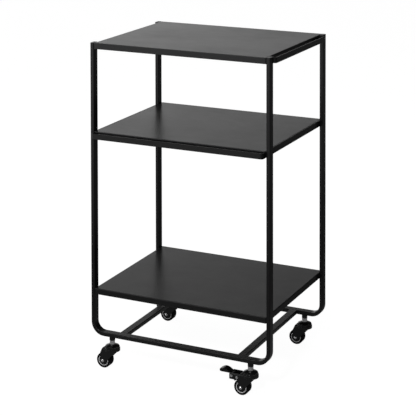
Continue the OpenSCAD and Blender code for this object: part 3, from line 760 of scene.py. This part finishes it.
class CART_OT_make_wheels(Operator):
    """Mould the tyres, cores and covers of the wheels"""

    bl_idname = "cart.make_wheels"
    bl_label = "Make Wheels"

    def execute(self, context):
        settings = context.scene.cart_wheels
        rubber = material_of("tyre_rubber", tyre_rubber, settings.rubber_colour)
        core = material_of("core_plastic", moulded_plastic, settings.core_colour, 0.45)
        cover = material_of("cover_plastic", moulded_plastic, settings.enamel_colour, 0.5)
        for castor in CASTORS:
            body = f"{castor}_wheel"
            tyre = new_piece(f"{castor}_moulded_tyre", self.tyre(castor, settings.tread_steps), rubber, body)
            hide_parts(f"{castor}_tyre")
            dress(f"{castor}_core", core)
            covers = new_piece(f"{castor}_ribbed_covers", self.covers(castor), cover, body)
            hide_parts(f"{castor}_covers")
        return {"FINISHED"}

    def tyre(self, castor, steps):
        """A tyre with round shoulders, a mould line round its tread and a groove in each side."""
        low, high = corners(f"{castor}_tyre")
        half = (high.y - low.y) / 2
        outer = (high.z - low.z) / 2
        core_low, core_high = corners(f"{castor}_core")
        inner = (core_high.z - core_low.z) / 2
        shoulder = 1.6 * MM
        inner_land, outer_land = 0.5 * MM, 0.3 * MM
        groove, slope = 0.25 * MM, 0.25 * MM
        seam, seam_half = 0.06 * MM, 0.35 * MM
        rim = outer - shoulder - outer_land
        side = [(inner, half), (inner + inner_land, half), (inner + inner_land + slope, half - groove),
                (rim - slope, half - groove), (rim, half)]
        arc = [(outer - seam - shoulder * (1 - math.cos(turn)), half - shoulder * (1 - math.sin(turn)))
               for turn in (math.radians(angle) for angle in range(90, -1, -18))]
        tread = [(outer - seam, seam_half), (outer, 0.0)]
        upper = side + arc + tread
        points = upper + [(radius, -along) for radius, along in reversed(upper[:-1])]
        bm = bmesh.new()
        spin_profile(bm, points, middle(f"{castor}_tyre"), Y_AXIS, steps)
        return bm

    def covers(self, castor):
        """Two dished discs, each with a hub ring and radial ribs."""
        low, high = corners(f"{castor}_covers")
        centre = middle(f"{castor}_covers")
        radius = (high.z - low.z) / 2
        face = (high.y - low.y) / 2
        hole = 5.5 * MM
        thick = 1.8 * MM
        hub = 1.2 * MM
        hub_foot, rim_foot = 1.6 * MM, 1.6 * MM
        hub_dish, rim_dish = 0.7 * MM, 0.9 * MM
        rim, rim_drop = 1.1 * MM, 0.2 * MM
        edge, edge_drop = 0.3 * MM, 0.5 * MM
        profile = [(hole, face - thick), (hole, face), (hole + hub, face), (hole + hub_foot, face - hub_dish),
                   (radius - rim_foot, face - rim_dish), (radius - rim, face - rim_drop),
                   (radius - edge, face - rim_drop), (radius, face - edge_drop), (radius, face - thick)]
        ribs = 8
        bm = bmesh.new()
        for way in (1.0, -1.0):
            spin_profile(bm, [(r, way * along) for r, along in profile], centre, Y_AXIS, steps=64)
            for rib in range(ribs):
                turn = rib * math.tau / ribs
                self.rib(bm, centre, (hole + hub, radius - hub), way * (face - rim_drop), turn)
        return bm

    def rib(self, bm, centre, span, top, turn):
        """One radial rib with its outer side at the given distance along the wheel's axis."""
        inner, outer = span
        width = height = 0.9 * MM
        depth = top - math.copysign(height / 2, top)
        spot = Matrix.Rotation(turn, 4, "Y") @ Matrix.Translation(Vector(((inner + outer) / 2, depth, 0.0)))
        size = Matrix.Diagonal((outer - inner, height, width, 1.0))
        made = bmesh.ops.create_cube(bm, size=1.0, matrix=Matrix.Translation(centre) @ spot @ size)
        edges = list({edge for vert in made["verts"] for edge in vert.link_edges})
        bmesh.ops.bevel(bm, geom=edges, offset=0.2 * MM, segments=2, profile=0.5, affect="EDGES", material=-1)


class CART_OT_make_brakes(Operator):
    """Press the brake pedals, and finish their pins"""

    bl_idname = "cart.make_brakes"
    bl_label = "Make Brakes"

    def execute(self, context):
        settings = context.scene.cart_wheels
        enamel = enamel_of(settings)
        plate = plate_of(settings)
        for castor in BRAKED:
            dress(f"{castor}_pin", plate)
            dress(f"{castor}_bolt", plate)
            pressed_copy(f"{castor}_pedal", f"{castor}_pressed_pedal", enamel, f"{castor}_brake",
                         settings.sheet_edge)
        return {"FINISHED"}


class CART_OT_set_stage(Operator):
    """Lay the floor, hang the lights and place the camera"""

    bl_idname = "cart.set_stage"
    bl_label = "Set Stage"

    def execute(self, context):
        settings = context.scene.cart_stage
        self.lay_floor(settings)
        self.light_room(context.scene, settings)
        self.place_camera(context.scene, settings)
        return {"FINISHED"}

    def lay_floor(self, settings):
        """A wide pale floor under the wheels."""
        bm = bmesh.new()
        bmesh.ops.create_grid(bm, x_segments=8, y_segments=8, size=settings.floor_size / 2)
        mesh = bpy.data.meshes.new("studio_floor")
        bm.to_mesh(mesh)
        bm.free()
        mesh.materials.append(material_of(
            "pale_floor", pale_floor, settings.floor_colour, settings.floor_glow,
            settings.near_light, settings.far_light))
        floor = bpy.data.objects.new("studio_floor", mesh)
        bpy.context.scene.collection.objects.link(floor)

    def light_room(self, scene, settings):
        """A room, white to the camera, that lights the cart from low on the left and less from the front.
        A large light hangs overhead, and a small one in front."""
        world = bpy.data.worlds.new("studio_room")
        world.use_nodes = True
        tree = world.node_tree
        way = axes_of(tree, add_node(tree, "ShaderNodeTexCoord").outputs["Generated"])
        left = mapped(tree, way["X"], low=0.0, high=-0.8)
        front = mapped(tree, way["Y"], low=0.0, high=-0.6, to_high=settings.front_share)
        height = mapped(tree, way["Z"], low=0.055, high=0.43, to_low=1.0, to_high=0.1)
        glow = product(tree, math_node(tree, "MAXIMUM", left, front), height, settings.side_light)
        to_cart = math_node(tree, "ADD", glow, settings.room_light)
        background = tree.nodes["Background"]
        background.inputs["Color"].default_value = WHITE
        feed(tree, camera_or_cart(tree, 1.0, to_cart), background.inputs["Strength"])
        scene.world = world
        self.area_light("top_light", settings.top_power, *TOP_LIGHT)
        self.area_light("front_light", settings.front_power, *FRONT_LIGHT)
        scene.view_settings.view_transform = "Standard"

    def area_light(self, name, power, size, place, target):
        """A square area light aimed at a point."""
        light = bpy.data.lights.new(name, "AREA")
        light.shape = "SQUARE"
        light.size = size
        light.energy = power
        lamp = bpy.data.objects.new(name, light)
        lamp.location = place
        lamp.rotation_euler = (Vector(target) - Vector(place)).to_track_quat("-Z", "Y").to_euler()
        lamp.visible_camera = False
        bpy.context.scene.collection.objects.link(lamp)

    def place_camera(self, scene, settings):
        """The camera that took the photograph. Its lens was shifted down, which a sheared rig does here,
        so the view has no shift left when the camera is taken off the rig and moved."""
        drop = settings.frame_drop * FILM_WIDTH / settings.lens
        lens = bpy.data.cameras.new("photo_camera")
        lens.sensor_width = FILM_WIDTH
        lens.lens = settings.lens * math.hypot(1.0, drop)
        lens.clip_end = 200.0
        camera = bpy.data.objects.new("photo_camera", lens)
        turn = (Matrix.Rotation(settings.camera_yaw, 4, "Z")
                @ Matrix.Rotation(math.pi / 2 - settings.camera_pitch, 4, "X")
                @ Matrix.Rotation(settings.camera_roll, 4, "Z"))
        place = Matrix.Translation(Vector(settings.camera_place)) @ turn
        shear = Matrix.Shear("XY", 4, (0.0, -drop))
        rig = bpy.data.objects.new("photo_rig", None)
        camera.parent = rig
        camera.matrix_parent_inverse = place @ shear @ place.inverted()
        camera.matrix_basis = place
        for item in (rig, camera):
            scene.collection.objects.link(item)
        scene.camera = camera


class CART_PT_finish(Panel):
    """Lists the settings and the steps that finish the cart"""

    bl_idname = "CART_PT_finish"
    bl_label = "Utility Cart"
    bl_space_type = "VIEW_3D"
    bl_region_type = "UI"
    bl_category = "Cart"

    def draw(self, context):
        for group in (context.scene.cart_paint, context.scene.cart_wheels, context.scene.cart_stage):
            box = self.layout.box()
            for name in group.__annotations__:
                box.prop(group, name)
        for step in STEPS:
            self.layout.operator(step.bl_idname)


GROUPS = {
    "cart_paint": CartPaintSettings,
    "cart_wheels": CartWheelSettings,
    "cart_stage": CartStageSettings,
}
STEPS = (
    CART_OT_set_stage,
    CART_OT_finish_frames,
    CART_OT_weld_frames,
    CART_OT_finish_shelves,
    CART_OT_finish_tray,
    CART_OT_make_swivels,
    CART_OT_make_wheels,
    CART_OT_make_brakes,
)


def register():
    for cls in (*GROUPS.values(), *STEPS, CART_PT_finish):
        bpy.utils.register_class(cls)
    for name, cls in GROUPS.items():
        setattr(bpy.types.Scene, name, PointerProperty(type=cls))


def unregister():
    for name in GROUPS:
        delattr(bpy.types.Scene, name)
    for cls in reversed((*GROUPS.values(), *STEPS, CART_PT_finish)):
        bpy.utils.unregister_class(cls)


def main():
    """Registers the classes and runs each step."""
    register()
    for step in STEPS:
        group, name = step.bl_idname.split(".")
        getattr(getattr(bpy.ops, group), name)()


if __name__ == "__main__":
    main()
